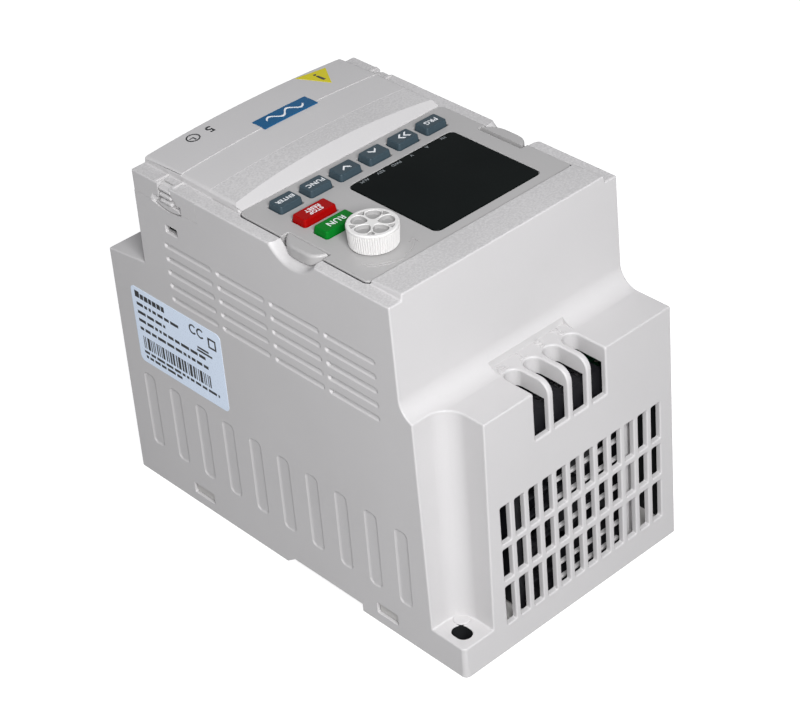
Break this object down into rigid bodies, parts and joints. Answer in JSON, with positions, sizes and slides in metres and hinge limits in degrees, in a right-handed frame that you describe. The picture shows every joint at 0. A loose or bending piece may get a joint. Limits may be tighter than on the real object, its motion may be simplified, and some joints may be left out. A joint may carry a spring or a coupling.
{
  "type": "variable frequency drive",
  "caption": "Compact variable frequency drive with a lift-out keypad, speed knob, snap-off terminal cover, cooling fan and DIN rail clip.",
  "frame": {"origin": "centre of the back mounting face", "axes": "+Z out of the control panel, +Y towards the end with the supply terminals and the air outlet, +X to the reader's right"},
  "size_m": [0.095, 0.16, 0.1346],
  "materials": {
    "casing": "fine moulded texture",
    "base_plastic": "fine moulded texture",
    "keypad_casing": "smooth satin",
    "heatsink_aluminium": "sawn and brushed",
    "black_plastic": "satin",
    "circuit_board": "solder mask",
    "capacitor_sleeve": "shrink sleeve",
    "choke_core": "coated ferrite",
    "component_blue": "moulded",
    "steel": "zinc plated",
    "terminal_green": "satin",
    "label": "printed film",
    "display_lens": "polished",
    "key_grey": "satin",
    "key_red": "satin",
    "key_green": "satin",
    "key_rubber": "moulded silicone",
    "knob_white": "smooth",
    "badge_blue": "printed film",
    "caution_yellow": "printed film"
  },
  "bodies": {
    "chassis": {"main_housing": "casing", "back_plate": "base_plastic", "heatsink": "heatsink_aluminium", "fan_frame": "black_plastic", "fan_guard": "casing", "power_board": "circuit_board", "power_module": "black_plastic", "rectifier_bridge": "black_plastic", "control_board": "circuit_board", "keypad_socket": "black_plastic", "link_capacitor_1": "capacitor_sleeve", "link_capacitor_2": "capacitor_sleeve", "choke": "choke_core", "relay": "component_blue", "input_terminal_block": "black_plastic", "output_terminal_block": "black_plastic", "control_terminal_block": "terminal_green", "rating_label": "label", "input_screw_1": "steel", "input_screw_2": "steel", "input_screw_3": "steel", "input_screw_4": "steel", "output_screw_1": "steel", "output_screw_2": "steel", "output_screw_3": "steel", "output_screw_4": "steel", "output_screw_5": "steel"},
    "din_clip": {"din_clip": "base_plastic"},
    "fan_rotor": {"fan_rotor": "black_plastic"},
    "keypad": {"keypad_housing": "keypad_casing", "keypad_board": "circuit_board", "keypad_plug": "black_plastic", "key_mat": "key_rubber", "display_window": "display_lens", "led_display": "black_plastic", "pot_body": "component_blue"},
    "dial": {"pot_shaft": "steel", "knob": "knob_white"},
    "keypad_tab_right": {"keypad_tab_right": "keypad_casing"},
    "keypad_tab_left": {"keypad_tab_left": "keypad_casing"},
    "key_program": {"key_program": "key_grey"},
    "key_shift": {"key_shift": "key_grey"},
    "key_up": {"key_up": "key_grey"},
    "key_down": {"key_down": "key_grey"},
    "key_function": {"key_function": "key_grey"},
    "key_enter": {"key_enter": "key_grey"},
    "key_stop": {"key_stop": "key_red"},
    "key_run": {"key_run": "key_green"},
    "terminal_cover": {"terminal_cover": "casing", "badge": "badge_blue", "caution_mark": "caution_yellow"},
    "cover_latch_right": {"cover_latch_right": "casing"},
    "cover_latch_left": {"cover_latch_left": "casing"}
  },
  "joints": [
    {"name": "din_clip_slide", "type": "slide", "parent": "chassis", "child": "din_clip", "axis": [0, -1, 0], "range_m": [0, 0.004], "stiffness_N_per_m": 1500},
    {"name": "fan_spin", "type": "hinge", "parent": "chassis", "child": "fan_rotor", "pos_m": [-0.0062, 0.065, 0.0324], "axis": [0, 1, 0], "continuous": true},
    {"name": "keypad_lift", "type": "slide", "parent": "chassis", "child": "keypad", "axis": [0, 0, 1], "range_m": [0, 0.025]},
    {"name": "dial_turn", "type": "hinge", "parent": "keypad", "child": "dial", "pos_m": [0.0269, 0.0307, 0.1278], "axis": [0, 0, 1], "range_deg": [-140, 140]},
    {"name": "tab_right_squeeze", "type": "hinge", "parent": "keypad", "child": "keypad_tab_right", "pos_m": [0.0412, 0.0165, 0.1145], "axis": [0, -1, 0], "range_deg": [0, 3], "stiffness_Nm_per_rad": 0.5},
    {"name": "tab_left_squeeze", "type": "hinge", "parent": "keypad", "child": "keypad_tab_left", "pos_m": [-0.0412, 0.0165, 0.1145], "axis": [0, 1, 0], "range_deg": [0, 3], "stiffness_Nm_per_rad": 0.5},
    {"name": "key_program_press", "type": "slide", "parent": "keypad", "child": "key_program", "axis": [0, 0, -1], "range_m": [0, 0.0009], "stiffness_N_per_m": 1200},
    {"name": "key_shift_press", "type": "slide", "parent": "keypad", "child": "key_shift", "axis": [0, 0, -1], "range_m": [0, 0.0009], "stiffness_N_per_m": 1200},
    {"name": "key_up_press", "type": "slide", "parent": "keypad", "child": "key_up", "axis": [0, 0, -1], "range_m": [0, 0.0009], "stiffness_N_per_m": 1200},
    {"name": "key_down_press", "type": "slide", "parent": "keypad", "child": "key_down", "axis": [0, 0, -1], "range_m": [0, 0.0009], "stiffness_N_per_m": 1200},
    {"name": "key_function_press", "type": "slide", "parent": "keypad", "child": "key_function", "axis": [0, 0, -1], "range_m": [0, 0.0009], "stiffness_N_per_m": 1200},
    {"name": "key_enter_press", "type": "slide", "parent": "keypad", "child": "key_enter", "axis": [0, 0, -1], "range_m": [0, 0.0009], "stiffness_N_per_m": 1200},
    {"name": "key_stop_press", "type": "slide", "parent": "keypad", "child": "key_stop", "axis": [0, 0, -1], "range_m": [0, 0.0009], "stiffness_N_per_m": 1200},
    {"name": "key_run_press", "type": "slide", "parent": "keypad", "child": "key_run", "axis": [0, 0, -1], "range_m": [0, 0.0009], "stiffness_N_per_m": 1200},
    {"name": "cover_lift", "type": "slide", "parent": "chassis", "child": "terminal_cover", "axis": [0, 0, 1], "range_m": [0, 0.025]},
    {"name": "latch_right_squeeze", "type": "hinge", "parent": "terminal_cover", "child": "cover_latch_right", "pos_m": [0.0432, -0.0424, 0.1255], "axis": [0, 1, 0], "range_deg": [0, 8], "stiffness_Nm_per_rad": 0.15},
    {"name": "latch_left_squeeze", "type": "hinge", "parent": "terminal_cover", "child": "cover_latch_left", "pos_m": [-0.0432, -0.0424, 0.1255], "axis": [0, -1, 0], "range_deg": [0, 8], "stiffness_Nm_per_rad": 0.15}
  ]
}
